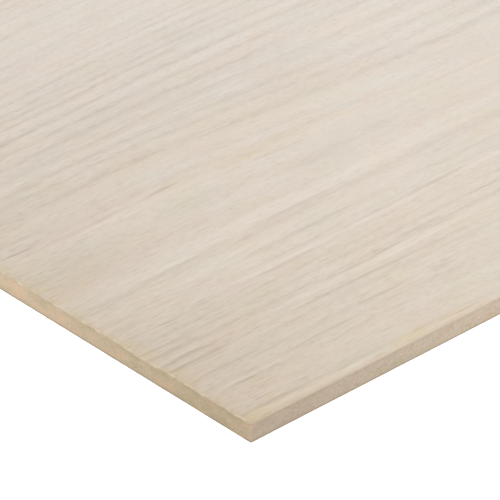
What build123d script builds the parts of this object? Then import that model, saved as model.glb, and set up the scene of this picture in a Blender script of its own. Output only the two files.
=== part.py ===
from build123d import *
import os

# Veneered board: a fibreboard core with leaves of sliced veneer bonded to its face and back.
# The sheet lies flat with its face up. X runs along its length and the grain, Y across its
# width, and Z up from the middle of its underside. All sizes are in millimetres.

# Stock sheet, as sold
sheet_length = 2440.0
sheet_width = 1220.0

# Layers, from the middle of the lay-up outwards
core_thickness = 5.0
face_veneer_thickness = 0.5
back_veneer_thickness = 0.5

# Veneer lay-ups: leaves of one width, which overhang both long edges until the sheet is trimmed
face_leaf_count = 4
face_layup_overhang = 30.0
back_leaf_count = 5
back_layup_overhang = 40.0

# Sanding rounds the arrises all round the trimmed sheet
face_arris_radius = 0.3
back_arris_radius = 0.2

# Heights of the glue lines and of the face
core_bottom = back_veneer_thickness
core_top = core_bottom + core_thickness
sheet_thickness = core_top + face_veneer_thickness


# Outline of the trimmed and sanded sheet, to which every layer is cut
with BuildPart() as trimmed_outline:
    with BuildSketch():
        Rectangle(sheet_length, sheet_width)
    extrude(amount=sheet_thickness)
    fillet(trimmed_outline.faces().sort_by(Axis.Z)[-1].edges(), face_arris_radius)
    fillet(trimmed_outline.faces().sort_by(Axis.Z)[0].edges(), back_arris_radius)


# Core: one slab of fibreboard between the two glue lines
with BuildPart() as mdf_core:
    with BuildSketch(Plane.XY.offset(core_bottom)):
        Rectangle(sheet_length, sheet_width)
    extrude(amount=core_thickness)
    add(trimmed_outline.part, mode=Mode.INTERSECT)
mdf_core.part.label = "mdf_core"


def lay_leaves(side, bottom, thickness, leaf_count, overhang):
    """Make one side's veneer: leaves butted edge to edge, then trimmed with the sheet.

    Each leaf is its own solid, and the joints run along the grain. Only the outside of the
    sheet is rounded, because the joints are pressed and sanded flush.
    """
    layup_width = sheet_width + 2 * overhang
    leaf_width = layup_width / leaf_count
    leaves = []
    for number in range(leaf_count):
        leaf_middle = (number + 0.5) * leaf_width - layup_width / 2
        with BuildPart() as leaf:
            with BuildSketch(Plane.XY.offset(bottom)):
                with Locations((0, leaf_middle)):
                    Rectangle(sheet_length, leaf_width)
            extrude(amount=thickness)
            add(trimmed_outline.part, mode=Mode.INTERSECT)
        leaf.part.label = f"{side}_leaf_{number + 1}"
        leaves.append(leaf.part)
    return leaves


face_leaves = lay_leaves(
    "face", core_top, face_veneer_thickness, face_leaf_count, face_layup_overhang
)
back_leaves = lay_leaves(
    "back", 0, back_veneer_thickness, back_leaf_count, back_layup_overhang
)

os.makedirs("parts", exist_ok=True)
for piece in [mdf_core.part, *face_leaves, *back_leaves]:
    export_step(piece, f"parts/{piece.label}.step")
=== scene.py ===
"""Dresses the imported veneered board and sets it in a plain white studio.

Lengths are in metres in the frame's own axes: X along the grain, Y across the sheet, Z up. Only
the patterns of the wood are drawn in millimetres, because that is how rings and pores are measured.
"""

from __future__ import annotations

import logging
import math
from collections.abc import Callable
from dataclasses import dataclass, field
from enum import Enum

import bpy
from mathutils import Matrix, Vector


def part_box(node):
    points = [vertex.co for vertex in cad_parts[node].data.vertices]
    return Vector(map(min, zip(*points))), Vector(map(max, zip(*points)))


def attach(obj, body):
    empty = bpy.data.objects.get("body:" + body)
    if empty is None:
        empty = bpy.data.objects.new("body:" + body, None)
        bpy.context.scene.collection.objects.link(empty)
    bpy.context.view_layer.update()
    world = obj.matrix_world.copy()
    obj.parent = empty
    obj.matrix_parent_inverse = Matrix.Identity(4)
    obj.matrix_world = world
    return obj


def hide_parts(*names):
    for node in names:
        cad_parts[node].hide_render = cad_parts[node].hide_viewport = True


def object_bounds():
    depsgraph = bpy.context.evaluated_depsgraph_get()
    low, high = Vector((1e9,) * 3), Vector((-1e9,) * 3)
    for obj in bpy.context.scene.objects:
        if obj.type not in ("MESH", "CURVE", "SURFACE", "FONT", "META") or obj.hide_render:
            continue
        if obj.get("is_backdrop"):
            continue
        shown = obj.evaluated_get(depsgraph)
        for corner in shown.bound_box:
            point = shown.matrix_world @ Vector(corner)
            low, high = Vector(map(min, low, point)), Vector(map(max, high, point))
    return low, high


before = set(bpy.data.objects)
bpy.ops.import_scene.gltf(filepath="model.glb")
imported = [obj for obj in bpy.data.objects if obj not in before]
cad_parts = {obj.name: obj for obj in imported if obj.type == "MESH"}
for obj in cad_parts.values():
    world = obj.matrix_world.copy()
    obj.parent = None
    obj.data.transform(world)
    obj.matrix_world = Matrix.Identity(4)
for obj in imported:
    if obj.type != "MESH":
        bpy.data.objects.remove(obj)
CAD_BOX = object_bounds()
SHEET_LOW, SHEET_HIGH = CAD_BOX

LOG = logging.getLogger("veneered_board")
MM = 0.001
BODY = "root"

Colour = tuple[float, float, float]


def linear(red: int, green: int, blue: int) -> Colour:
    """Turn a colour read off a screen into Blender's linear light.

    Args:
        red: The red level, from 0 to 255.
        green: The green level.
        blue: The blue level.

    Returns:
        The three shares of linear light.
    """
    def one(level: int) -> float:
        """Turn one level into its share."""
        share = level / 255
        return share / 12.92 if share <= 0.04045 else ((share + 0.055) / 1.055) ** 2.4

    return one(red), one(green), one(blue)


class Side(Enum):
    """The sheet's four sides, each by its axis and the way it faces along it."""

    LEFT_END = (0, -1)
    RIGHT_END = (0, 1)
    NEAR_EDGE = (1, -1)
    FAR_EDGE = (1, 1)

    @property
    def axis(self) -> int:
        """The axis that the side stands square to: 0 for X, 1 for Y."""
        return self.value[0]

    @property
    def way(self) -> int:
        """The way it faces along that axis."""
        return self.value[1]


class Hand(Enum):
    """How a leaf lies in the lay-up: as it came off the log, or turned over like a page."""

    AS_CUT = 1.0
    TURNED = -1.0


class Tone(Enum):
    """The colours that small marks on the wood can have."""

    DARK = linear(178, 160, 142)
    SMOKY = linear(200, 188, 174)
    PALE = linear(244, 238, 228)
    CREAM = linear(243, 230, 202)
    WARM = linear(238, 216, 188)
    KHAKI = linear(196, 180, 142)
    STRAW = linear(226, 210, 168)
    AMBER = linear(216, 194, 158)


class Signal:
    """A number that runs through a material's nodes, and can be reckoned with like a number."""

    def __init__(self, tree: bpy.types.NodeTree, socket: bpy.types.NodeSocket) -> None:
        """Wrap the output socket that carries the number."""
        self.tree = tree
        self.socket = socket

    def math(self, operation: str, *others: Signal | float) -> Signal:
        """Add a Math node that starts from this number.

        Args:
            operation: The node's operation, such as MULTIPLY.
            others: Its other inputs, in order.

        Returns:
            The node's result.
        """
        node = self.tree.nodes.new("ShaderNodeMath")
        node.operation = operation
        for slot, value in zip(node.inputs, (self, *others)):
            if isinstance(value, Signal):
                self.tree.links.new(value.socket, slot)
            else:
                slot.default_value = value
        return Signal(self.tree, node.outputs[0])

    def __add__(self, other: Signal | float) -> Signal:
        """Sum."""
        return self.math("ADD", other)

    def __sub__(self, other: Signal | float) -> Signal:
        """Difference."""
        return self.math("SUBTRACT", other)

    def __mul__(self, other: Signal | float) -> Signal:
        """Product."""
        return self.math("MULTIPLY", other)

    def __truediv__(self, other: Signal | float) -> Signal:
        """Quotient."""
        return self.math("DIVIDE", other)

    __radd__ = __add__
    __rmul__ = __mul__

    def __rsub__(self, other: float) -> Signal:
        """What is left of a plain number when this one is taken from it."""
        return self.math("MULTIPLY_ADD", -1.0, other)

    def step(self, low: float, high: float) -> Signal:
        """Rise smoothly from 0 to 1.

        Args:
            low: Where the result is 0; it may be the larger of the two.
            high: Where the result is 1.

        Returns:
            The risen number.
        """
        node = self.tree.nodes.new("ShaderNodeMapRange")
        node.interpolation_type = "SMOOTHSTEP"
        limits = (low, high, 0.0, 1.0) if low < high else (high, low, 1.0, 0.0)
        self.tree.links.new(self.socket, node.inputs[0])
        for slot, value in zip(node.inputs[1:5], limits):
            slot.default_value = value
        return Signal(self.tree, node.outputs[0])


@dataclass(frozen=True)
class Ring:
    """One growth ring: its distance from the crown, its half width, and how dark or pale it is."""

    radius: float
    half_width: float
    dark: float = 0.0
    pale: float = 0.0


@dataclass(frozen=True)
class Mark:
    """One small mark on the wood, by its middle along and across the grain, and its reach."""

    along: float
    across: float
    half_length: float
    half_width: float
    tone: Tone
    strength: float


@dataclass(frozen=True)
class Pattern:
    """One pattern of smooth noise, by the size of its features in millimetres.

    Attributes:
        length: How long they are, along the grain.
        width: How wide they are, across it.
        height: How high they are; on veneer, one leaf's place in the log counts as one.
        start: Where in the noise the pattern begins, so that no two patterns are alike.
        detail: How many finer patterns are laid over it.
        roughness: How strong those are.
        rise: Between which values of the noise it comes out, if it isn't used as it is.
    """

    length: float
    width: float
    height: float = 1.0
    start: float = 0.0
    detail: float = 2.0
    roughness: float = 0.5
    rise: tuple[float, float] | None = None


class Wiring:
    """One material's node tree, wired from its coordinates to its shader."""

    RING_SHAPE = ((-0.8, 0.0), (0.0, 1.0), (1.2, 0.0))

    def __init__(self, name: str) -> None:
        """Start a material with an empty tree.

        Args:
            name: The material's name.
        """
        self.material = bpy.data.materials.new(name)
        self.material.use_nodes = True
        self.tree = self.material.node_tree
        self.tree.nodes.clear()

    def link(self, source: Signal | bpy.types.NodeSocket, target: bpy.types.NodeSocket) -> None:
        """Join an output to an input."""
        self.tree.links.new(source.socket if isinstance(source, Signal) else source, target)

    def place(self, origin: tuple[float, float, float], hand: Hand = Hand.AS_CUT) -> list[Signal]:
        """Give the coordinates of the sheet in millimetres.

        Args:
            origin: The point, in metres, from which they are measured.
            hand: Which way round the leaf lies; a turned one is measured backwards.

        Returns:
            The distances along the grain, across it and up.
        """
        ways = (1.0, hand.value, 1.0)
        here = self.tree.nodes.new("ShaderNodeTexCoord")
        mapping = self.tree.nodes.new("ShaderNodeMapping")
        mapping.inputs["Scale"].default_value = [way / MM for way in ways]
        mapping.inputs["Location"].default_value = [-o * w / MM for o, w in zip(origin, ways)]
        self.link(here.outputs["Object"], mapping.inputs["Vector"])
        apart = self.tree.nodes.new("ShaderNodeSeparateXYZ")
        self.link(mapping.outputs[0], apart.inputs[0])
        return [Signal(self.tree, socket) for socket in apart.outputs]

    def inside(self) -> tuple[Signal, Signal]:
        """Measure from the rim of the sheet inwards.

        Returns:
            How far a spot lies inside the nearer end and the nearer long edge, in millimetres.
        """
        along, across, _ = self.place((0.0, 0.0, 0.0))
        half_length, half_width = SHEET_HIGH.x / MM, SHEET_HIGH.y / MM
        return half_length - along.math("ABSOLUTE"), half_width - across.math("ABSOLUTE")

    def draw(self, pattern: Pattern, x: Signal, y: Signal, z: Signal | float = 0.0) -> Signal:
        """Draw a pattern of smooth noise.

        Args:
            pattern: The pattern.
            x: The distance over which its length is laid off.
            y: The distance over which its width is laid off.
            z: The distance over which its height is laid off, or one place for the whole leaf.

        Returns:
            The noise, about 0.5 on average, or how far it has risen.
        """
        places = (x / pattern.length, y / pattern.width, z / pattern.height + pattern.start)
        vector = self.tree.nodes.new("ShaderNodeCombineXYZ")
        for slot, value in zip(vector.inputs, places):
            if isinstance(value, Signal):
                self.link(value, slot)
            else:
                slot.default_value = value
        node = self.tree.nodes.new("ShaderNodeTexNoise")
        node.inputs["Scale"].default_value = 1.0
        node.inputs["Detail"].default_value = pattern.detail
        node.inputs["Roughness"].default_value = pattern.roughness
        self.link(vector.outputs[0], node.inputs["Vector"])
        noise = Signal(self.tree, node.outputs["Fac"])
        return noise.step(*pattern.rise) if pattern.rise else noise

    def rings(self, radius: Signal, rings: tuple[Ring, ...]) -> tuple[Signal, Signal]:
        """Draw a run of rings.

        Args:
            radius: The distance from the crown.
            rings: The rings, from the inside out, none touching the next.

        Returns:
            How dark and how pale they make the wood.
        """
        start = rings[0].radius - rings[0].half_width
        reach = rings[-1].radius + rings[-1].half_width - start
        ramp = self.tree.nodes.new("ShaderNodeValToRGB")
        ramp.color_ramp.interpolation = "EASE"
        stops = ramp.color_ramp.elements
        stops.remove(stops[1])
        stops[0].position = 0.0
        stops[0].color = (0.0, 0.0, 0.0, 1.0)
        for ring in rings:
            for offset, shown in self.RING_SHAPE:
                where = (ring.radius + offset * ring.half_width - start) / reach
                stop = stops.new(min(max(where, 0.0), 1.0))
                stop.color = (ring.dark * shown, ring.pale * shown, 0.0, 1.0)
        self.link((radius - start) / reach, ramp.inputs[0])
        apart = self.tree.nodes.new("ShaderNodeSeparateColor")
        self.link(ramp.outputs[0], apart.inputs[0])
        return Signal(self.tree, apart.outputs[0]), Signal(self.tree, apart.outputs[1])

    def paint(
        self, base: bpy.types.NodeSocket | Colour, colour: Colour, amount: Signal | float
    ) -> bpy.types.NodeSocket:
        """Lay a colour over another.

        Args:
            base: The colour below, as a socket or as plain numbers.
            colour: The colour on top.
            amount: How much of it shows.

        Returns:
            The mixed colour.
        """
        node = self.tree.nodes.new("ShaderNodeMix")
        node.data_type = "RGBA"
        factor, under, over = node.inputs[0], node.inputs[6], node.inputs[7]
        if isinstance(amount, Signal):
            self.link(amount, factor)
        else:
            factor.default_value = amount
        if isinstance(base, bpy.types.NodeSocket):
            self.link(base, under)
        else:
            under.default_value = (*base, 1.0)
        over.default_value = (*colour, 1.0)
        return node.outputs[2]

    def tint(
        self, base: bpy.types.NodeSocket, colour: Colour, amount: Signal | float
    ) -> bpy.types.NodeSocket:
        """Darken a colour by another as a stain would, which keeps its pattern.

        Args:
            base: The colour below.
            colour: The share of the light that the stain lets through.
            amount: How strong the stain is.

        Returns:
            The stained colour.
        """
        stained = self.paint(base, colour, amount)
        stained.node.blend_type = "MULTIPLY"
        return stained

    def finish(
        self,
        colour: bpy.types.NodeSocket,
        roughness: Signal,
        height: Signal,
        relief: float,
        shine: float,
    ) -> bpy.types.Material:
        """Close the tree with a Principled shader.

        Args:
            colour: The surface's colour.
            roughness: Its roughness, from 0 to 1.
            height: Its fine relief, from 0 to 1.
            relief: The height in metres that a relief of 1 stands for.
            shine: The specular level.

        Returns:
            The finished material.
        """
        shader = self.tree.nodes.new("ShaderNodeBsdfPrincipled")
        shader.inputs["Specular IOR Level"].default_value = shine
        self.link(colour, shader.inputs["Base Color"])
        self.link(roughness, shader.inputs["Roughness"])
        bump = self.tree.nodes.new("ShaderNodeBump")
        bump.inputs["Strength"].default_value = 1.0
        bump.inputs["Distance"].default_value = relief
        self.link(height, bump.inputs["Height"])
        self.link(bump.outputs[0], shader.inputs["Normal"])
        output = self.tree.nodes.new("ShaderNodeOutputMaterial")
        self.link(shader.outputs[0], output.inputs["Surface"])
        return self.material


@dataclass(frozen=True)
class Flitch:
    """The half log that all leaves of one side are sliced from, so that they share its figure.

    Lengths are in millimetres, along the grain from the sheet's left end and across it from the
    leaf's own edge. The rings run in long arches on both sides of the crown, and fan out at the
    left end, where the log swells towards its butt.

    Attributes:
        straight_line: The line across the leaf that the swelling leaves straight.
        crown: Where the crown of the arches lies, from that line.
        near_fan: Between which distances on the near side of the crown the rings draw apart.
        near_share: How close they are before that.
        swell: How much the log swells.
        swell_middle: Where along the leaf it swells most.
        swell_length: Over what length.
        lens_run: Over what length the rings close in round the lens beside the crown.
        lens_line: Where the middle of the lens lies.
        lens_half_width: How far the rings give way to it.
        lens_swing: How much they give way.
        drift: The slow waves of the grain.
        drift_reach: How far they swing.
        ripple: The short waves of the grain.
        ripple_reach: How far they swing.
        wander_run: Over what length the crown starts to wander.
        wander_length: How long its bends are.
        wander_reach: How far it wanders.
        arch_start: Where the arches start to close.
        arch_slope: How fast they close.
        clear_reach: How far from the crown the rings change in clearness.
        near_clearness: How clear they are on its near side.
        fade_run: Over what length they fade.
        fade_share: How much they fade.
        inner_rings: The rings next to the crown.
        outer_rings: The rings outside them.
        edge_rings: The rings of the sapwood.
        repeat: How far outside a ring the same ring comes again.
        marks: The small marks, and the faint broad ones.
    """

    straight_line: float = 36.25
    crown: float = 105.0
    near_fan: tuple[float, float] = (40.0, 80.0)
    near_share: float = 0.68
    swell: float = 0.16
    swell_middle: float = 70.0
    swell_length: float = 190.0
    lens_run: tuple[float, float] = (60.0, 190.0)
    lens_line: float = 118.0
    lens_half_width: float = 45.0
    lens_swing: float = 11.0
    drift: Pattern = Pattern(90.0, 16.0, detail=1.0)
    drift_reach: float = 3.6
    ripple: Pattern = Pattern(22.0, 4.0, start=5.0, detail=1.0)
    ripple_reach: float = 1.3
    wander_run: tuple[float, float] = (250.0, 900.0)
    wander_length: float = 310.0
    wander_reach: float = 14.0
    arch_start: float = 300.0
    arch_slope: float = 0.06
    clear_reach: float = 8.0
    near_clearness: float = 0.6
    fade_run: tuple[float, float] = (120.0, 230.0)
    fade_share: float = 0.3
    inner_rings: tuple[Ring, ...] = (
        Ring(2.0, 2.0, pale=0.25),
        Ring(7.5, 2.5, dark=0.3),
        Ring(13.0, 1.8, dark=0.3),
        Ring(18.5, 2.2, pale=0.3),
        Ring(24.0, 3.0, dark=1.0),
        Ring(31.3, 2.1, dark=0.8),
        Ring(36.6, 1.6, dark=0.7),
        Ring(40.4, 1.4, pale=0.5),
        Ring(44.2, 1.9, dark=0.6),
    )
    outer_rings: tuple[Ring, ...] = (
        Ring(51.0, 2.2, dark=0.8),
        Ring(58.0, 2.5, dark=0.9),
        Ring(65.2, 2.4, dark=1.0),
        Ring(69.4, 1.1, pale=0.5),
        Ring(72.4, 1.4, dark=0.8),
        Ring(76.6, 1.8, dark=0.8),
        Ring(80.8, 1.6, dark=0.7),
        Ring(86.2, 1.6, dark=0.7),
        Ring(91.3, 1.6, dark=0.6),
        Ring(95.3, 1.4, dark=0.5),
    )
    edge_rings: tuple[Ring, ...] = (
        Ring(100.0, 1.5, dark=0.3),
        Ring(107.4, 1.8, dark=0.45),
        Ring(113.0, 1.5, dark=0.3),
        Ring(118.2, 1.5, dark=0.25),
        Ring(124.5, 2.0, dark=0.5),
        Ring(133.5, 1.6, dark=0.35),
        Ring(139.2, 1.8, dark=0.4),
    )
    repeat: float = 110.0
    marks: tuple[Mark, ...] = (
        Mark(10, 28.1, 14, 1.2, Tone.DARK, 0.6),
        Mark(12, 31.5, 14, 1.0, Tone.DARK, 0.5),
        Mark(14, -2.2, 17, 1.2, Tone.KHAKI, 0.4),
        Mark(17, -2.2, 9, 0.45, Tone.DARK, 0.8),
        Mark(25.5, -1.3, 1.2, 1.1, Tone.KHAKI, 0.5),
        Mark(75, 74.0, 125, 4.6, Tone.PALE, 0.3),
        Mark(38, 73.6, 24, 2.2, Tone.PALE, 0.25),
        Mark(178, 118.5, 32, 5.0, Tone.PALE, 0.2),
        Mark(18, 10.8, 14, 0.7, Tone.DARK, 0.6),
        Mark(18, 12.3, 16, 0.8, Tone.PALE, 0.4),
        Mark(16, 20.1, 16, 0.8, Tone.DARK, 0.5),
        Mark(8, 36.6, 11, 1.5, Tone.DARK, 0.3),
        Mark(10, 111.6, 11, 1.1, Tone.DARK, 0.5),
        Mark(98, 17.2, 7, 0.8, Tone.DARK, 0.4),
        Mark(101, 18.6, 4, 0.6, Tone.DARK, 0.45),
        Mark(72, 18.0, 16, 0.7, Tone.DARK, 0.35),
        Mark(45, 13.9, 20, 0.8, Tone.DARK, 0.4),
        Mark(80, 28.2, 55, 1.1, Tone.DARK, 0.2),
        Mark(82, 31.9, 60, 1.4, Tone.PALE, 0.35),
        Mark(95, 34.4, 38, 0.8, Tone.DARK, 0.4),
        Mark(110, 37.0, 16, 0.7, Tone.DARK, 0.4),
        Mark(144, 39.8, 9, 0.7, Tone.DARK, 0.4),
        Mark(84, 60.0, 42, 1.2, Tone.DARK, 0.25),
        Mark(42, 71.0, 14, 1.0, Tone.DARK, 0.35),
        Mark(92, 71.8, 28, 1.1, Tone.DARK, 0.3),
        Mark(65, 50.0, 20, 0.7, Tone.DARK, 0.4),
        Mark(120, 52.6, 42, 1.0, Tone.DARK, 0.4),
        Mark(84, 51.4, 50, 1.4, Tone.PALE, 0.25),
        Mark(114, 108.6, 19, 6.2, Tone.AMBER, 0.4),
        Mark(113, 103.8, 15, 0.9, Tone.DARK, 0.4),
        Mark(84, 108.2, 30, 6.0, Tone.AMBER, 0.34),
        Mark(150, 110.0, 14, 4.0, Tone.WARM, 0.15),
        Mark(68, 108.8, 9, 1.0, Tone.DARK, 0.35),
        Mark(120, 90.5, 26, 4.5, Tone.SMOKY, 0.4),
        Mark(115, 150.0, 85, 18.0, Tone.SMOKY, 0.3),
        Mark(95, 58.0, 90, 15.0, Tone.PALE, 0.12),
        Mark(26, 64.0, 62, 13.0, Tone.PALE, 0.3),
        Mark(130, 181.0, 75, 16.0, Tone.SMOKY, 0.25),
        Mark(110, 129.0, 95, 12.0, Tone.AMBER, 0.2),
        Mark(50, 105.5, 62, 2.0, Tone.PALE, 0.3),
        Mark(40, 108.4, 40, 0.9, Tone.DARK, 0.25),
        Mark(14, 92.5, 30, 12.0, Tone.KHAKI, 0.14),
        Mark(40, -4.6, 75, 1.6, Tone.PALE, 0.2),
        Mark(4, -4.8, 6, 1.8, Tone.STRAW, 0.4),
        Mark(9, -4.2, 8, 1.4, Tone.CREAM, 0.45),
        Mark(22, -4.3, 17, 1.2, Tone.CREAM, 0.3),
        Mark(38, -4.2, 7, 0.8, Tone.CREAM, 0.6),
        Mark(38, -3.1, 6, 0.45, Tone.DARK, 0.55),
        Mark(48.5, -5.1, 2, 0.5, Tone.DARK, 0.4),
        Mark(62, -4.0, 9, 2.6, Tone.STRAW, 0.6),
        Mark(66.5, -2.4, 4, 0.6, Tone.KHAKI, 0.6),
        Mark(83, -4.4, 16, 1.6, Tone.WARM, 0.35),
        Mark(82, -3.9, 13, 0.35, Tone.DARK, 0.6),
        Mark(50, -2.3, 55, 1.2, Tone.KHAKI, 0.15),
        Mark(150, 93.0, 9, 3.5, Tone.SMOKY, 0.3),
    )

    def measure(
        self, wires: Wiring, along: Signal, across: Signal, depth: float
    ) -> tuple[Signal, Signal, Signal]:
        """Follow the grain.

        Args:
            wires: The material that is being drawn.
            along: The distance along the leaf.
            across: The distance across the leaf.
            depth: How far into the flitch the leaf was sliced, which changes its figure slowly.

        Returns:
            The distance across the grain, the distance from the crown, and how clearly the rings
            show, which is less on the near side of the crown and where they have spread out.
        """
        flare = ((along - self.swell_middle) / self.swell_length).math("TANH") * -self.swell
        line = (across - self.straight_line) * flare.math("EXPONENT")
        drift = wires.draw(self.drift, along, across, depth) - 0.5
        ripple = wires.draw(self.ripple, along, across, depth) - 0.5
        from_lens = (line - self.lens_line).math("ABSOLUTE")
        lens = along.step(*self.lens_run) * from_lens.step(self.lens_half_width, 0)
        line = line + lens * self.lens_swing + drift * self.drift_reach + ripple * self.ripple_reach
        bend = (along / self.wander_length).math("SINE")
        wander = along.step(*self.wander_run) * bend * self.wander_reach
        side = line - self.crown - wander
        near = side * -1.0
        near = near * (near.step(*self.near_fan) * (1.0 - self.near_share) + self.near_share)
        rise = (along - self.arch_start).math("MAXIMUM", 0.0) * self.arch_slope
        reach = side.math("MAXIMUM", near)
        radius = (reach * reach + rise * rise).math("SQRT")
        last = self.edge_rings[-1].radius + self.edge_rings[-1].half_width
        far_side = side.step(-self.clear_reach, self.clear_reach)
        clear = far_side * (1.0 - self.near_clearness) + self.near_clearness
        clear = clear * (1.0 - along.step(*self.fade_run) * self.fade_share)
        return line, radius - radius.math("GREATER_THAN", last) * self.repeat, clear


@dataclass(frozen=True)
class VeneerFinish:
    """Bare, sanded crown-cut veneer of a pale ring-porous wood.

    Attributes:
        wood: The colour of the wood between its rings.
        shade: The colour of its dark streaks, rings and pores.
        light: The colour of its pale streaks and rings.
        warm: The colour of its yellower parts.
        end_grain: The colour of the cut ends.
        edge_grain: The colour of the cut long edges.
        worn: The colour of the worn flecks on the arris.
        painted_shade: Painted shade that darkens the wood towards the ends, most at the corners.
        painted_shade_reach: How far from the ends that goes, in millimetres.
        edge_weight: How much less a long edge counts there than an end.
        burnished_end: The stain that the saw leaves along an end.
        burnished_edge: The stain that it leaves along a long edge.
        peachy: The colour of the rosy flecks on the arris.
        rosy: One of the slow changes of hue.
        greenish: Another.
        honey: And the third.
        turned: How a turned leaf takes the light.
        seam: The colour of the joint between two leaves.
        seam_half_width: Half its width, in millimetres.
        slice_step: How much the figure changes from one leaf to the next.
        flitch: The half log that the leaves come from.
        shine: The specular level.
        relief: How deep the pores and rings are, in metres.
        fibre: The pattern of the fibres. The patterns below it are named for what they draw.
        feather: How far the fibres fray the rings, in millimetres.
        ring_dark: How strong the dark rings are.
        ring_pale: How strong the pale ones are.
        lively: How strong the fibres are.
        lively_near_end: How much stronger they are towards the ends, under the painted shade.
        pore_dark: How strong the pores are.
        pore_in_ring: How much stronger they are in a ring.
        nick_dark: How strong the short dark lines are.
        nick_near_end: How much stronger they are towards the ends, under the painted shade.
        seam_dark: How strong the joint is.
        yellow_run: Where across the leaf the wood starts to yellow, and where it is yellowest.
        yellow_share: How yellow it is there.
        mattness: The least roughness of the surface.
        fibre_mattness: What the fibres add to it.
    """

    wood: Colour = linear(225, 215, 204)
    shade: Colour = linear(184, 167, 151)
    light: Colour = linear(241, 234, 224)
    warm: Colour = linear(226, 212, 192)
    end_grain: Colour = linear(221, 203, 174)
    edge_grain: Colour = linear(212, 196, 175)
    worn: Colour = linear(246, 232, 208)
    painted_shade: Colour = (0.81, 0.77, 0.72)
    painted_shade_reach: float = 74.0
    edge_weight: float = 0.02
    burnished_end: Colour = (1.0, 0.972, 0.862)
    burnished_edge: Colour = (0.985, 0.955, 0.905)
    peachy: Colour = linear(242, 212, 182)
    rosy: Colour = (1.0, 0.976, 0.974)
    greenish: Colour = (0.976, 1.0, 0.992)
    honey: Colour = (1.0, 0.99, 0.95)
    turned: Colour = (0.955, 0.95, 0.94)
    seam: Colour = linear(168, 148, 122)
    seam_half_width: float = 0.12
    slice_step: float = 0.12
    flitch: Flitch = Flitch()
    shine: float = 0.5
    relief: float = 0.03 * MM
    fibre: Pattern = Pattern(11.0, 0.85, detail=3.0, roughness=0.6)
    streaks: Pattern = Pattern(16.0, 0.9, start=8.0, rise=(0.36, 0.62))
    ring_fade: Pattern = Pattern(50.0, 9.0, start=3.0, rise=(0.3, 0.6))
    ring_dashes: Pattern = Pattern(8.0, 1.1, start=33.0, rise=(0.36, 0.6))
    pores: Pattern = Pattern(3.5, 0.34, start=9.0, detail=0.0, rise=(0.62, 0.8))
    nicks: Pattern = Pattern(7.0, 0.6, start=40.0, detail=1.0, rise=(0.6, 0.72))
    bands: Pattern = Pattern(60.0, 4.5, start=14.0, detail=3.0)
    mottle: Pattern = Pattern(3.0, 1.3, start=17.0, roughness=0.6)
    blush: Pattern = Pattern(28.0, 13.0, start=21.0, detail=4.0, roughness=0.6)
    sweet: Pattern = Pattern(24.0, 12.0, start=27.0, detail=4.0, roughness=0.6, rise=(0.48, 0.62))
    rim_fray: Pattern = Pattern(3.0, 4.0, height=0.7, detail=3.0, rise=(0.5, 0.62))
    rim_chips: Pattern = Pattern(1.6, 2.2, start=7.0, detail=3.0, rise=(0.5, 0.62))
    rim_blush: Pattern = Pattern(3.0, 5.0, start=3.0, detail=3.0, rise=(0.54, 0.64))
    rim_patch: Pattern = Pattern(9.0, 7.0, start=11.0, detail=3.0, rise=(0.4, 0.6))
    feather: float = 2.2
    ring_dark: float = 0.44
    ring_pale: float = 0.5
    lively: float = 0.12
    lively_near_end: float = 0.24
    pore_dark: float = 0.16
    pore_in_ring: float = 0.4
    nick_dark: float = 0.1
    nick_near_end: float = 0.38
    seam_dark: float = 0.6
    yellow_run: tuple[float, float] = (240.0, 20.0)
    yellow_share: float = 0.5
    mattness: float = 0.42
    fibre_mattness: float = 0.1

    def dress(
        self,
        name: str,
        origin: tuple[float, float, float],
        hand: Hand,
        slice_number: float,
        face_height: float,
        leaf_width: float,
    ) -> bpy.types.Material:
        """Draw the material of one leaf.

        Args:
            name: The material's name.
            origin: The leaf's own edge, in metres.
            hand: Which way round the leaf lies.
            slice_number: The leaf's place in the flitch.
            face_height: The height of the leaf's outer face, in metres.
            leaf_width: The width of a leaf, in metres.

        Returns:
            The material.
        """
        wires = Wiring(name)
        along, across, up = wires.place(origin, hand)
        from_end, from_edge = wires.inside()
        depth = slice_number * self.slice_step
        line, radius, clear = self.flitch.measure(wires, along, across, depth)
        fibre = wires.draw(self.fibre, along, line, depth)
        streaks = wires.draw(self.streaks, along, line, depth)
        # Painted shade towards the ends and corners; fibres and short lines are drawn stronger
        # under it.
        reach = (from_end * from_end + from_edge * from_edge * self.edge_weight).math("SQRT")
        painted_shade_weight = (reach / -self.painted_shade_reach).math("EXPONENT")

        runs = (self.flitch.inner_rings, self.flitch.outer_rings, self.flitch.edge_rings)
        feathered = radius + (fibre - 0.5) * self.feather
        drawn = [wires.rings(feathered, run) for run in runs]
        fade = wires.draw(self.ring_fade, along, line, depth) * 0.6 + 0.4
        dark = (drawn[0][0] + drawn[1][0] + drawn[2][0]) * fade
        pale = (drawn[0][1] + drawn[1][1] + drawn[2][1]) * fade
        dashes = wires.draw(self.ring_dashes, along, line, depth)
        dark = dark * clear * (dashes * 0.6 + 0.4)

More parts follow.
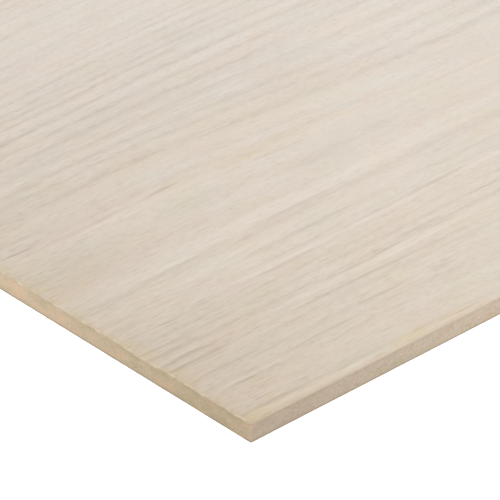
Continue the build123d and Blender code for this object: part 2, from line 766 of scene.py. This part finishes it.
        yellow = across.step(*self.yellow_run) * self.yellow_share
        colour = self.paint_wood(wires, along, line, depth, yellow)
        lively = painted_shade_weight * self.lively_near_end + self.lively
        colour = wires.paint(colour, self.light, fibre.step(0.5, 0.78) * lively)
        colour = wires.paint(colour, self.shade, fibre.step(0.5, 0.22) * lively)
        colour = wires.paint(colour, self.light, pale * self.ring_pale)
        colour = wires.paint(colour, self.shade, dark * self.ring_dark)
        pores = wires.draw(self.pores, along, line, depth)
        pitted = pores * (dark * self.pore_in_ring + self.pore_dark)
        colour = wires.paint(colour, self.shade, pitted)
        nicks = wires.draw(self.nicks, along, line, depth)
        nicked = nicks * (painted_shade_weight * self.nick_near_end + self.nick_dark)
        colour = wires.paint(colour, self.shade, nicked)
        streaky = streaks * 0.8 + 0.2
        for mark in self.flitch.marks:
            length = (along - mark.along) / mark.half_length
            width = (line - mark.across) / mark.half_width
            inside = (length * length + width * width).step(1.0, 0.0)
            colour = wires.paint(colour, mark.tone.value, inside * streaky * mark.strength)
        if hand is Hand.TURNED:
            colour = wires.tint(colour, self.turned, 1.0)
        half = leaf_width / MM / 2
        seam = ((across - half).math("ABSOLUTE") - half).math("ABSOLUTE")
        joint = seam.step(self.seam_half_width * 2, 0.0) * self.seam_dark
        colour = wires.paint(colour, self.seam, joint)
        below = (up - face_height / MM).math("ABSOLUTE")
        colour = self.paint_rim(wires, colour, from_end, from_edge, below)
        # Painted shade: the colour is darkened towards the ends, most at the corners.
        colour = wires.tint(colour, self.painted_shade, painted_shade_weight)
        height = fibre * 0.3 - pores * 0.5 - dark * 0.3 + 0.8
        roughness = fibre * self.fibre_mattness + self.mattness
        return wires.finish(colour, roughness, height, self.relief, self.shine)

    def paint_wood(
        self, wires: Wiring, along: Signal, line: Signal, depth: float, yellow: Signal
    ) -> bpy.types.NodeSocket:
        """Draw the wood between its rings.

        Args:
            wires: The material that is being drawn.
            along: The distance along the leaf.
            line: The distance across its grain.
            depth: How far into the flitch the leaf was sliced.
            yellow: How yellow the wood is.

        Returns:
            The colour, with broad bands, short mottling and slow changes of hue.
        """
        bands = wires.draw(self.bands, along, line, depth)
        mottle = wires.draw(self.mottle, along, line, depth)
        blush = wires.draw(self.blush, along, line, depth)
        sweet = wires.draw(self.sweet, along, line, depth)
        colour = wires.paint(self.wood, self.warm, yellow)
        colour = wires.paint(colour, self.light, bands.step(0.45, 0.75) * 0.18)
        colour = wires.paint(colour, self.shade, bands.step(0.5, 0.22) * 0.11)
        colour = wires.paint(colour, self.light, mottle.step(0.5, 0.8) * 0.26)
        colour = wires.paint(colour, self.shade, mottle.step(0.5, 0.2) * 0.22)
        colour = wires.tint(colour, self.honey, sweet)
        colour = wires.tint(colour, self.rosy, blush.step(0.5, 0.63))
        return wires.tint(colour, self.greenish, blush.step(0.5, 0.37))

    def paint_rim(
        self,
        wires: Wiring,
        colour: bpy.types.NodeSocket,
        from_end: Signal,
        from_edge: Signal,
        below: Signal,
    ) -> bpy.types.NodeSocket:
        """Draw the margin of the sheet, the worn arris and the cut sides of the veneer.

        Args:
            wires: The material that is being drawn.
            colour: The colour of the leaf's face.
            from_end: How far a spot lies inside the nearer end.
            from_edge: How far it lies inside the nearer long edge.
            below: How far it lies below the leaf's face.

        Returns:
            The leaf's colour, its sides among it.
        """
        rim = from_end.math("MINIMUM", from_edge)
        end = from_end.step(1.0, 0.5)
        fray = wires.draw(self.rim_fray, from_end, from_edge, below)
        chips = wires.draw(self.rim_chips, from_end, from_edge)
        blush = wires.draw(self.rim_blush, from_end, from_edge)
        patch = wires.draw(self.rim_patch, from_end, from_edge)
        colour = wires.tint(colour, self.burnished_end, from_end.step(8, 0) * (patch * 0.8 + 0.2))
        colour = wires.tint(colour, self.burnished_edge, from_edge.step(5, 0))
        colour = wires.paint(colour, self.end_grain, from_end.step(2.0, 0.3) * chips * 0.45)
        side = below.step(0.02, 0.16)
        colour = wires.paint(colour, self.edge_grain, side * (1.0 - end) * 0.8)
        colour = wires.paint(colour, self.end_grain, side * end * 0.9)
        colour = wires.paint(colour, self.peachy, rim.step(1.4, 0.5) * blush * end * 0.35)
        return wires.paint(colour, self.worn, rim.step(0.9, 0.4) * fray * end * 0.6)


@dataclass(frozen=True)
class FibreboardFinish:
    """Sawn medium-density fibreboard: denser and darker close under the veneers.

    Attributes:
        end_body: The colour of its ends.
        edge_body: The colour of its long edges.
        peach: The colour of its rosy blotches.
        khaki: The colour of its greenish blotches.
        rosy: The colour of the patches on its long edges.
        pale: The colour of its pale fibres.
        dark: The colour of its dark fibres.
        skin: The colour of its dense layers.
        painted_shade: Painted shade that darkens the fibreboard towards its corners.
        shine: The specular level.
        relief: How deep the hollows between the fibres are, in metres.
        blotch: The pattern of the blotches.
        patch: The pattern of the patches.
        fluff: The pattern of the fibres.
        specks: The pattern of the finest fibres.
    """

    end_body: Colour = linear(218, 197, 170)
    edge_body: Colour = linear(215, 199, 180)
    peach: Colour = linear(234, 198, 164)
    khaki: Colour = linear(200, 186, 148)
    rosy: Colour = linear(216, 190, 174)
    pale: Colour = linear(232, 217, 196)
    dark: Colour = linear(176, 157, 134)
    skin: Colour = linear(190, 175, 146)
    painted_shade: Colour = (0.79, 0.79, 0.76)
    shine: float = 0.2
    relief: float = 0.08 * MM
    blotch: Pattern = Pattern(6.5, 6.5, height=3.0, detail=4.0, roughness=0.7)
    patch: Pattern = Pattern(9.0, 9.0, height=4.0, detail=4.0, roughness=0.6)
    fluff: Pattern = Pattern(1.1, 1.1, height=0.6, roughness=0.65)
    specks: Pattern = Pattern(0.45, 0.45, height=0.3, detail=1.0)

    def dress(self, name: str) -> bpy.types.Material:
        """Draw the material of the core.

        Args:
            name: The material's name.

        Returns:
            The material.
        """
        wires = Wiring(name)
        along, across, up = wires.place((0.0, 0.0, 0.0))
        from_end, from_edge = wires.inside()
        end = from_end.step(0.5, 0.2)
        blotch = wires.draw(self.blotch, along, across, up)
        patch = wires.draw(self.patch, along, across, up)
        fluff = wires.draw(self.fluff, along, across, up)
        specks = wires.draw(self.specks, along, across, up)
        colour = wires.paint(self.edge_body, self.end_body, end)
        colour = wires.paint(colour, self.rosy, patch.step(0.45, 0.65) * (0.7 - end * 0.7))
        colour = wires.paint(colour, self.peach, blotch.step(0.48, 0.62) * (end * 0.5 + 0.1))
        colour = wires.paint(colour, self.khaki, blotch.step(0.53, 0.38) * (end * 0.2 + 0.35))
        colour = wires.paint(colour, self.pale, fluff.step(0.5, 0.8) * 0.5)
        colour = wires.paint(colour, self.dark, fluff.step(0.48, 0.2) * 0.45)
        colour = wires.paint(colour, self.pale, specks.step(0.56, 0.75) * 0.5)
        colour = wires.paint(colour, self.dark, specks.step(0.44, 0.25) * 0.5)
        upper = up.step(2.6, 5.0) * end * patch.step(0.56, 0.42) * 0.3
        dense = up.step(4.6, 5.4) * (0.3 - end * 0.2) + up.step(1.1, 0.5) * 0.3
        colour = wires.paint(colour, self.skin, upper + dense)
        far = from_end.math("MAXIMUM", from_edge)
        # Painted shade: darker towards the corners.
        colour = wires.tint(colour, self.painted_shade, far.step(115, -5))
        colour = wires.paint(colour, self.pale, far.step(0.8, 0.2) * 0.1)
        height = fluff + specks * 0.4
        return wires.finish(colour, 0.8 + fluff * 0.1, height, self.relief, self.shine)


@dataclass(frozen=True)
class SawCut:
    """What sawing and sanding took off a cut side beyond its true line.

    Attributes:
        depth: How deep the hollows between the fibres go in from the side.
        drop: How far the arris falls away from the face.
        grain: How far apart the hollows are.
        layers: How many finer hollows lie in them.
        contrast: How sharply they are set off.
        side_level: The pattern's value at which the side stays where it is.
        arris_level: The same for the arris, which only falls away.
    """

    depth: float
    drop: float
    grain: float
    layers: int = 2
    contrast: float = 2.0
    side_level: float = 0.7
    arris_level: float = 1.0

    def texture(self, name: str) -> bpy.types.Texture:
        """Make the pattern of the hollows.

        Args:
            name: The pattern's name.

        Returns:
            The pattern.
        """
        pattern = bpy.data.textures.new(name, type="CLOUDS")
        pattern.noise_scale = self.grain
        pattern.noise_depth = self.layers
        pattern.contrast = self.contrast
        return pattern


SANDED = SawCut(depth=0.06 * MM, drop=0.02 * MM, grain=1.2 * MM)


@dataclass(frozen=True)
class Layout:
    """How a piece's surface shares out its own map, on which its finish can be kept.

    The outer face takes the bottom of the map. The four sides lie above it in rows, and the
    bonded face has a thin row at the top.

    Attributes:
        face: The share of the map's height that the outer face takes.
        edge_rows: How many rows each long edge is cut into.
        end_rows: How many rows each end is cut into.
        bonded: The share of the map's height that the bonded face takes.
        filled: How much of its row a side fills.
        slack: How far the worn surface may reach beyond the piece's true size.
        border: The share of the map's width that is left free on the left and on the right.
    """

    face: float = 0.8
    edge_rows: int = 1
    end_rows: int = 1
    bonded: float = 0.04
    filled: float = 0.8
    slack: float = 0.3 * MM
    border: float = 0.005

    def rows(self, side: Side) -> int:
        """How many rows a side is cut into."""
        return self.end_rows if side.axis == 0 else self.edge_rows

    def start(self, side: Side, row: int) -> float:
        """The height on the map at which one row of a side starts."""
        before = sum(self.rows(other) for other in list(Side)[: list(Side).index(side)])
        return self.face + (before + row) * self.row_height

    @property
    def row_height(self) -> float:
        """The height of one row, with the gap above it."""
        return (1.0 - self.face - self.bonded) / sum(self.rows(side) for side in Side)

    @property
    def span(self) -> float:
        """The share of the map's width between its borders."""
        return 1.0 - 2 * self.border


@dataclass
class Slab:
    """A flat piece of the lay-up, with fine facets only along the sides that were sawn.

    Attributes:
        name: The piece's name.
        low: Its lowest corner.
        high: Its highest corner.
        sides: The sides that were sawn; the others butt against their neighbours.
        arris_radius: How round the outer arris is, or nothing for a layer inside the board.
        faces_up: Whether that arris is at the top.
        layers: How many rows of facets the sides have.
        layout: How its surface shares out its map.
        end_cut: What sawing took off its ends.
        edge_cut: What sawing took off its long edges.
        corner_radius: How round its upright corners are.
        cell: The size of the large cells of its faces.
        band: How wide the margin with the fine facets is.
        facet: How long a fine facet is.
        near_enough: How close two places are that count as one.
        round_steps: How many facets go round an arris or a corner.
        smooth_below: Up to which angle, in degrees, two facets are shaded as one.
        piece: The slab's object, once it is started.
    """

    name: str
    low: Vector
    high: Vector
    sides: tuple[Side, ...]
    arris_radius: float = 0.0
    faces_up: bool = True
    layers: int = 1
    layout: Layout = Layout()
    end_cut: SawCut = SANDED
    edge_cut: SawCut = SANDED
    cell: float = 40 * MM
    band: float = 2.4 * MM
    facet: float = 1.0 * MM
    corner_radius: float = 0.3 * MM
    near_enough: float = 0.001 * MM
    round_steps: int = 3
    smooth_below: float = 40.0
    piece: bpy.types.Object = field(init=False, repr=False)

    def distance(self, side: Side, point: Vector) -> float:
        """How far a point lies inside one of the sides."""
        end = self.high if side.way > 0 else self.low
        return abs(end[side.axis] - point[side.axis])

    def choose(self, wanted: Callable[[Vector, Vector], bool]) -> None:
        """Select some edges, and nothing else, ready for editing.

        Args:
            wanted: Tells from an edge's two ends whether it is one of them.
        """
        bpy.ops.object.mode_set(mode="OBJECT")
        bpy.context.tool_settings.mesh_select_mode = (False, True, False)
        mesh = self.piece.data
        for parts in (mesh.vertices, mesh.edges, mesh.polygons):
            parts.foreach_set("select", [False] * len(parts))
        points = [vertex.co.copy() for vertex in mesh.vertices]
        for edge in mesh.edges:
            first, second = edge.vertices
            if wanted(points[first], points[second]):
                edge.select = True
                mesh.vertices[first].select = True
                mesh.vertices[second].select = True
        bpy.ops.object.mode_set(mode="EDIT")

    def lay_grid(self) -> None:
        """Start from a grid of large cells, and draw it up to the slab's thickness."""
        size = self.high - self.low
        middle = (self.low + self.high) / 2
        bpy.ops.object.select_all(action="DESELECT")
        bpy.ops.mesh.primitive_grid_add(
            x_subdivisions=round(size.x / self.cell),
            y_subdivisions=round(size.y / self.cell),
            size=1.0,
            calc_uvs=False,
            location=(middle.x, middle.y, self.low.z),
        )
        self.piece = bpy.context.object
        self.piece.name = self.name
        self.piece.scale = (size.x, size.y, 1.0)
        bpy.ops.object.transform_apply(location=True, rotation=True, scale=True)
        bpy.ops.object.mode_set(mode="EDIT")
        bpy.ops.mesh.select_all(action="SELECT")
        bpy.ops.mesh.extrude_region_move(TRANSFORM_OT_translate={"value": (0.0, 0.0, size.z)})
        bpy.ops.mesh.select_all(action="SELECT")
        bpy.ops.mesh.normals_make_consistent(inside=False)

    def round_corners(self) -> None:
        """Round the upright corners where two sawn sides meet."""

        def upright(first: Vector, second: Vector) -> bool:
            """Whether an edge stands at such a corner."""
            cut = [s.axis for s in self.sides if self.distance(s, first) < self.near_enough]
            return len(set(cut)) == 2 and (first - second).xy.length < self.near_enough

        if len({side.axis for side in self.sides}) < 2:
            return
        self.choose(upright)
        self.round_chosen(self.corner_radius)

    def round_arris(self) -> None:
        """Round the outer arris along the sawn sides."""
        level = self.high.z if self.faces_up else self.low.z
        corner_reach = self.corner_radius * 1.01

        def on_rim(first: Vector, second: Vector) -> bool:
            """Tell whether an edge of the outer face lies along a sawn side or round a corner.

            Args:
                first: One end of the edge.
                second: Its other end.

            Returns:
                Whether it does.
            """
            if any(abs(point.z - level) > self.near_enough for point in (first, second)):
                return False
            ends = [[self.distance(s, p) for s in self.sides] for p in (first, second)]
            along = any(max(pair) < self.near_enough for pair in zip(*ends))
            return along or all(sum(d < corner_reach for d in end) == 2 for end in ends)

        if not self.arris_radius:
            return
        self.choose(on_rim)
        self.round_chosen(self.arris_radius)

    def round_chosen(self, radius: float) -> None:
        """Round the selected edges.

        Args:
            radius: How round they become.
        """
        bpy.ops.mesh.bevel(
            offset=radius, segments=self.round_steps, affect="EDGES", clamp_overlap=False
        )

    def cut_across(self, point: Vector, square_to: tuple[float, float, float]) -> None:
        """Cut the whole mesh along a plane."""
        bpy.ops.mesh.select_all(action="SELECT")
        bpy.ops.mesh.bisect(plane_co=point, plane_no=square_to, threshold=self.near_enough)

    def cut_facets(self) -> None:
        """Cut the margin along each sawn side into fine facets, in rows if the side is high."""
        for side in self.sides:
            end = self.high if side.way > 0 else self.low
            inside = end.copy()
            inside[side.axis] -= side.way * self.band
            square_to = [0.0, 0.0, 0.0]
            square_to[side.axis] = 1.0
            self.cut_across(inside, tuple(square_to))
        for layer in range(1, self.layers):
            level = self.low.lerp(self.high, layer / self.layers)
            self.cut_across(level, (0.0, 0.0, 1.0))
        for side in self.sides:
            self.split_margin(side)

    def split_margin(self, side: Side) -> None:
        """Split the long facets in the margin of a side.

        Args:
            side: One of the sawn sides.
        """
        other = 1 - side.axis
        inside = self.band + self.near_enough
        size = self.high - self.low
        length = size[other] / round(size[other] / self.cell)

        def lengthwise(first: Vector, second: Vector) -> bool:
            """Whether an edge is one of the long ones in that margin."""
            in_margin = max(self.distance(side, first), self.distance(side, second)) < inside
            return in_margin and abs(first[other] - second[other]) > length / 2

        self.choose(lengthwise)
        bpy.ops.mesh.subdivide(number_cuts=round(length / self.facet) - 1)

    def wear(self) -> None:
        """Let the saw and the sander take off what they did, side by side."""
        bpy.ops.object.mode_set(mode="OBJECT")
        level = self.high.z if self.faces_up else self.low.z
        outwards = 1.0 if self.faces_up else -1.0
        for side in self.sides:
            cut = self.end_cut if side.axis == 0 else self.edge_cut
            margin_name, arris_name = side.name, side.name + "_arris"
            margin = self.piece.vertex_groups.new(name=margin_name)
            arris = self.piece.vertex_groups.new(name=arris_name)
            for vertex in self.piece.data.vertices:
                distance = self.distance(side, vertex.co)
                if distance < self.band:
                    share = 1.0 - distance / self.band
                    margin.add([vertex.index], share, "REPLACE")
                    if abs(vertex.co.z - level) < self.arris_radius:
                        arris.add([vertex.index], share, "REPLACE")
            pattern = cut.texture(f"{self.name}_{side.name}")
            reach = side.way * cut.depth
            self.displace("XY"[side.axis], margin_name, pattern, reach, cut.side_level)
            if self.arris_radius:
                self.displace("Z", arris_name, pattern, outwards * cut.drop, cut.arris_level)

    def displace(
        self, axis: str, group: str, pattern: bpy.types.Texture, reach: float, level: float
    ) -> None:
        """Push a group of vertices inwards by a pattern, for good.

        Args:
            axis: The axis along which they are pushed.
            group: The vertex group, whose weights share out the push.
            pattern: The pattern.
            reach: How deep the pattern's hollows are, with the sign of the way outwards.
            level: The pattern's value at which nothing moves.
        """
        push = self.piece.modifiers.new("wear", "DISPLACE")
        push.direction = axis
        push.vertex_group = group
        push.texture = pattern
        push.texture_coords = "LOCAL"
        push.mid_level = level
        push.strength = reach
        bpy.ops.object.modifier_apply(modifier="wear")

    def side_of(self, normal: Vector) -> Side | None:
        """Tell which side a facet belongs to.

        Args:
            normal: The way it faces.

        Returns:
            The side, or none for the two faces.
        """
        if abs(normal.z) > math.sqrt(0.5):
            return None
        axis = 0 if abs(normal.x) > abs(normal.y) else 1
        return next(s for s in Side if s.axis == axis and s.way * normal[axis] > 0)

    def unwrap(self) -> None:
        """Lay the surface out on a map of its own, so that the grain keeps its sharpness."""
        mesh = self.piece.data
        places = mesh.uv_layers.new(name="OFBake").uv
        slack = Vector((self.layout.slack,) * 3)
        low = self.low - slack
        size = self.high + slack - low
        for facet in mesh.polygons:
            side = self.side_of(facet.normal)
            run = 0 if side is None else 1 - side.axis
            rows = 1 if side is None else self.layout.rows(side)
            middle = (facet.center[run] - low[run]) / size[run] * rows
            row = min(int(middle), rows - 1)
            for corner in facet.loop_indices:
                point = mesh.vertices[mesh.loops[corner].vertex_index].co
                share = [(point[i] - low[i]) / size[i] for i in range(3)]
                along = self.layout.border + self.layout.span * (share[run] * rows - row)
                if side is not None:
                    height = self.layout.filled * self.layout.row_height * share[2]
                    places[corner].vector = (along, self.layout.start(side, row) + height)
                elif (facet.normal.z > 0) == self.faces_up:
                    places[corner].vector = (along, share[1] * self.layout.face * self.layout.span)
                else:
                    top = 1.0 - self.layout.bonded * (1.0 - share[1]) * self.layout.filled
                    places[corner].vector = (along, top)

    def build(self) -> bpy.types.Object:
        """Model the slab.

        Returns:
            Its object.
        """
        self.lay_grid()
        self.round_corners()
        self.round_arris()
        self.cut_facets()
        self.wear()
        bpy.ops.object.shade_smooth_by_angle(angle=math.radians(self.smooth_below))
        self.unwrap()
        return self.piece


@dataclass
class LayUp:
    """One layer of the board, made of one piece or of leaves laid side by side.

    Attributes:
        nodes: The CAD nodes that it stands for, in order across the sheet.
        slot: The record's material slot.
        arris_radius: How round its outer arris is.
        faces_up: Whether its outer face is the top one.
        layers: How many rows of facets its sides have.
        layout: How the surface of each piece shares out its map.
        end_cut: What sawing took off its ends.
        edge_cut: What sawing took off its long edges.
        corner_radius: How round its upright corners are.
    """

    nodes: tuple[str, ...]
    slot: str
    arris_radius: float
    faces_up: bool
    layers: int
    layout: Layout = Layout()
    end_cut: SawCut = SANDED
    edge_cut: SawCut = SANDED
    corner_radius: float = 0.3 * MM

    def sides(self, number: int) -> tuple[Side, ...]:
        """Tell which sides of a piece were sawn.

        Args:
            number: The piece's place across the sheet.

        Returns:
            Both ends, and the long edges that lie on the outside.
        """
        found = [Side.LEFT_END, Side.RIGHT_END]
        if number == 0:
            found.append(Side.NEAR_EDGE)
        if number == len(self.nodes) - 1:
            found.append(Side.FAR_EDGE)
        return tuple(found)

    def dress(self, number: int) -> bpy.types.Material:
        """Draw the material of one of its pieces."""
        raise NotImplementedError

    def build(self) -> list[bpy.types.Object]:
        """Model, dress and place all of its pieces.

        Returns:
            Their objects.
        """
        built = []
        for number, node in enumerate(self.nodes):
            low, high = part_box(node)
            slab = Slab(
                name=f"{node}_dressed",
                low=Vector(low),
                high=Vector(high),
                sides=self.sides(number),
                arris_radius=self.arris_radius,
                faces_up=self.faces_up,
                layers=self.layers,
                layout=self.layout,
                end_cut=self.end_cut,
                edge_cut=self.edge_cut,
                corner_radius=self.corner_radius,
            )
            piece = slab.build()
            piece.data.materials.append(self.dress(number))
            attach(piece, BODY)
            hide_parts(node)
            triangles = sum(len(face.vertices) - 2 for face in piece.data.polygons)
            LOG.info("%s: %d triangles", piece.name, triangles)
            built.append(piece)
        return built


@dataclass
class Core(LayUp):
    """The fibreboard between the veneers."""

    nodes: tuple[str, ...] = ("mdf_core",)
    slot: str = "mdf_core"
    arris_radius: float = 0.0
    faces_up: bool = True
    layers: int = 3
    layout: Layout = Layout(face=0.04, edge_rows=10, end_rows=5)
    finish: FibreboardFinish = FibreboardFinish()

    def dress(self, number: int) -> bpy.types.Material:
        """Draw the fibreboard."""
        return self.finish.dress(self.nodes[number])


@dataclass
class VeneerLayUp(LayUp):
    """Leaves of one width, which overhung both long edges until the sheet was trimmed.

    Attributes:
        overhang: How far the leaves overhung each long edge.
        finish: How the veneer looks.
    """

    layers: int = 1
    overhang: float = 0.0
    finish: VeneerFinish = VeneerFinish()

    def hand(self, number: int) -> Hand:
        """Which way round a leaf lies."""
        return Hand.AS_CUT

    def dress(self, number: int) -> bpy.types.Material:
        """Draw one leaf, measured from its own edge before the sheet was trimmed.

        Args:
            number: The leaf's place across the sheet.

        Returns:
            The leaf's material.
        """
        hand = self.hand(number)
        width = (SHEET_HIGH.y - SHEET_LOW.y + 2 * self.overhang) / len(self.nodes)
        edge = number + 1 if hand is Hand.TURNED else number
        origin = (SHEET_LOW.x, SHEET_LOW.y - self.overhang + edge * width, 0.0)
        face = SHEET_HIGH.z if self.faces_up else SHEET_LOW.z
        return self.finish.dress(self.nodes[number], origin, hand, number, face, width)


@dataclass
class FaceLayUp(VeneerLayUp):
    """The face: leaves of one flitch, every second one turned over so that they match in pairs."""

    nodes: tuple[str, ...] = tuple(f"face_leaf_{number}" for number in range(1, 5))
    slot: str = "face_veneer"
    arris_radius: float = 0.3 * MM
    faces_up: bool = True
    end_cut: SawCut = SawCut(depth=0.4 * MM, drop=0.2 * MM, grain=1.5 * MM)
    edge_cut: SawCut = SawCut(depth=0.1 * MM, drop=0.05 * MM, grain=2.5 * MM)
    corner_radius: float = 0.9 * MM
    overhang: float = 30 * MM

    def hand(self, number: int) -> Hand:
        """Which way round a leaf lies."""
        return Hand.TURNED if number % 2 else Hand.AS_CUT


@dataclass
class BackLayUp(VeneerLayUp):
    """The back: plainer leaves, all the same way round, which keep the sheet flat."""

    nodes: tuple[str, ...] = tuple(f"back_leaf_{number}" for number in range(1, 6))
    slot: str = "back_veneer"
    arris_radius: float = 0.2 * MM
    faces_up: bool = False
    overhang: float = 40 * MM
    finish: VeneerFinish = VeneerFinish(
        wood=linear(212, 198, 180),
        shade=linear(176, 156, 134),
        light=linear(228, 216, 200),
        warm=linear(214, 196, 170),
        end_grain=linear(176, 160, 136),
        edge_grain=linear(182, 168, 148),
        worn=linear(206, 192, 170),
        flitch=Flitch(swell=0.04, crown=130.0, marks=()),
    )


@dataclass
class Studio:
    """The floor, the light and the camera, which aren't part of the board.

    Attributes:
        frame_pixels: The picture's width and height.
        focal_pixels: The lens's focal length, measured in the picture's pixels.
        near_corner_pixel: Where the picture shows the lower near corner of the sheet.
        near_corner_depth: How far in front of the camera that corner is, in metres.
        heading_degrees: Which way the camera looks, from the sheet's length.
        pitch_degrees: How far it looks down.
        sensor_width: The width of the camera's sensor, in millimetres.
        nearest: How close to the camera things are still seen.
        light_strength: How strong the light from all round is.
        floor_size: The length of the floor's sides, in metres.
        floor_shade: How white the floor is under the board's light.
        floor_glow: What the camera sees on top of that, so that only the shadow shows.
    """

    frame_pixels: float = 500.0
    focal_pixels: float = 2163.26
    near_corner_pixel: tuple[float, float] = (250.9, 443.4)
    near_corner_depth: float = 0.55893
    heading_degrees: float = 47.49
    pitch_degrees: float = 29.018
    sensor_width: float = 36.0
    nearest: float = 10 * MM
    light_strength: float = 1.0
    floor_size: float = 40.0
    floor_shade: float = 0.9
    floor_glow: float = 0.8

    def aim(self) -> None:
        """Set the camera so that the sheet's near corner stands where the picture shows it."""
        heading = math.radians(self.heading_degrees)
        pitch = math.radians(self.pitch_degrees)
        level = Vector((math.cos(heading), math.sin(heading), 0.0))
        right = Vector((level.y, -level.x, 0.0))
        forward = level * math.cos(pitch) - Vector((0.0, 0.0, math.sin(pitch)))
        down = forward.cross(right)
        middle = self.frame_pixels / 2
        across, below = ((pixel - middle) / self.focal_pixels for pixel in self.near_corner_pixel)
        sight = forward + right * across + down * below
        data = bpy.data.cameras.new("camera")
        data.sensor_width = self.sensor_width
        data.lens = self.sensor_width * self.focal_pixels / self.frame_pixels
        data.clip_start = self.nearest
        camera = bpy.data.objects.new("camera", data)
        camera.location = Vector(SHEET_LOW) - sight * self.near_corner_depth
        camera.rotation_euler = forward.to_track_quat("-Z", "Y").to_euler()
        bpy.context.scene.collection.objects.link(camera)
        bpy.context.scene.camera = camera

    def light(self) -> None:
        """Light the sheet softly from all round."""
        world = bpy.data.worlds.new("studio")
        bpy.context.scene.world = world
        world.use_nodes = True
        tree = world.node_tree
        tree.nodes.clear()
        soft = tree.nodes.new("ShaderNodeBackground")
        soft.inputs["Color"].default_value = (1.0, 1.0, 1.0, 1.0)
        soft.inputs["Strength"].default_value = self.light_strength
        output = tree.nodes.new("ShaderNodeOutputWorld")
        tree.links.new(soft.outputs[0], output.inputs[0])

    def lay_floor(self) -> None:
        """Lay a white floor that keeps a faint shadow of the sheet."""
        bpy.ops.object.select_all(action="DESELECT")
        bpy.ops.mesh.primitive_plane_add(size=self.floor_size, location=(0.0, 0.0, 0.0))
        floor = bpy.context.object
        floor.name = "floor"
        material = bpy.data.materials.new("studio_floor")
        material.use_nodes = True
        tree = material.node_tree
        tree.nodes.clear()
        path = tree.nodes.new("ShaderNodeLightPath")
        matt = tree.nodes.new("ShaderNodeBsdfDiffuse")
        matt.inputs["Color"].default_value = (*(self.floor_shade,) * 3, 1.0)
        glow = tree.nodes.new("ShaderNodeEmission")
        glow.inputs["Strength"].default_value = self.floor_glow
        seen = tree.nodes.new("ShaderNodeAddShader")
        mix = tree.nodes.new("ShaderNodeMixShader")
        output = tree.nodes.new("ShaderNodeOutputMaterial")
        tree.links.new(glow.outputs[0], seen.inputs[0])
        tree.links.new(matt.outputs[0], seen.inputs[1])
        tree.links.new(path.outputs["Is Camera Ray"], mix.inputs[0])
        tree.links.new(matt.outputs[0], mix.inputs[1])
        tree.links.new(seen.outputs[0], mix.inputs[2])
        tree.links.new(mix.outputs[0], output.inputs[0])
        floor.data.materials.append(material)
        floor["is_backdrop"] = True

    def build(self) -> None:
        """Set up everything round the board."""
        bpy.context.scene.view_settings.view_transform = "Standard"
        self.aim()
        self.light()
        self.lay_floor()


def main() -> None:
    """Dress the board piece by piece and report each one."""
    logging.basicConfig(level=logging.INFO, format="%(message)s")
    Studio().build()
    for layer in (Core(), FaceLayUp(), BackLayUp()):
        pieces = layer.build()
        LOG.info("%s: %d pieces", type(layer).__name__, len(pieces))
    boxes = {"cad": CAD_BOX, "visual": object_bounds()}
    {name: [list(corner) for corner in box] for name, box in boxes.items()}


if __name__ == "__main__":
    main()
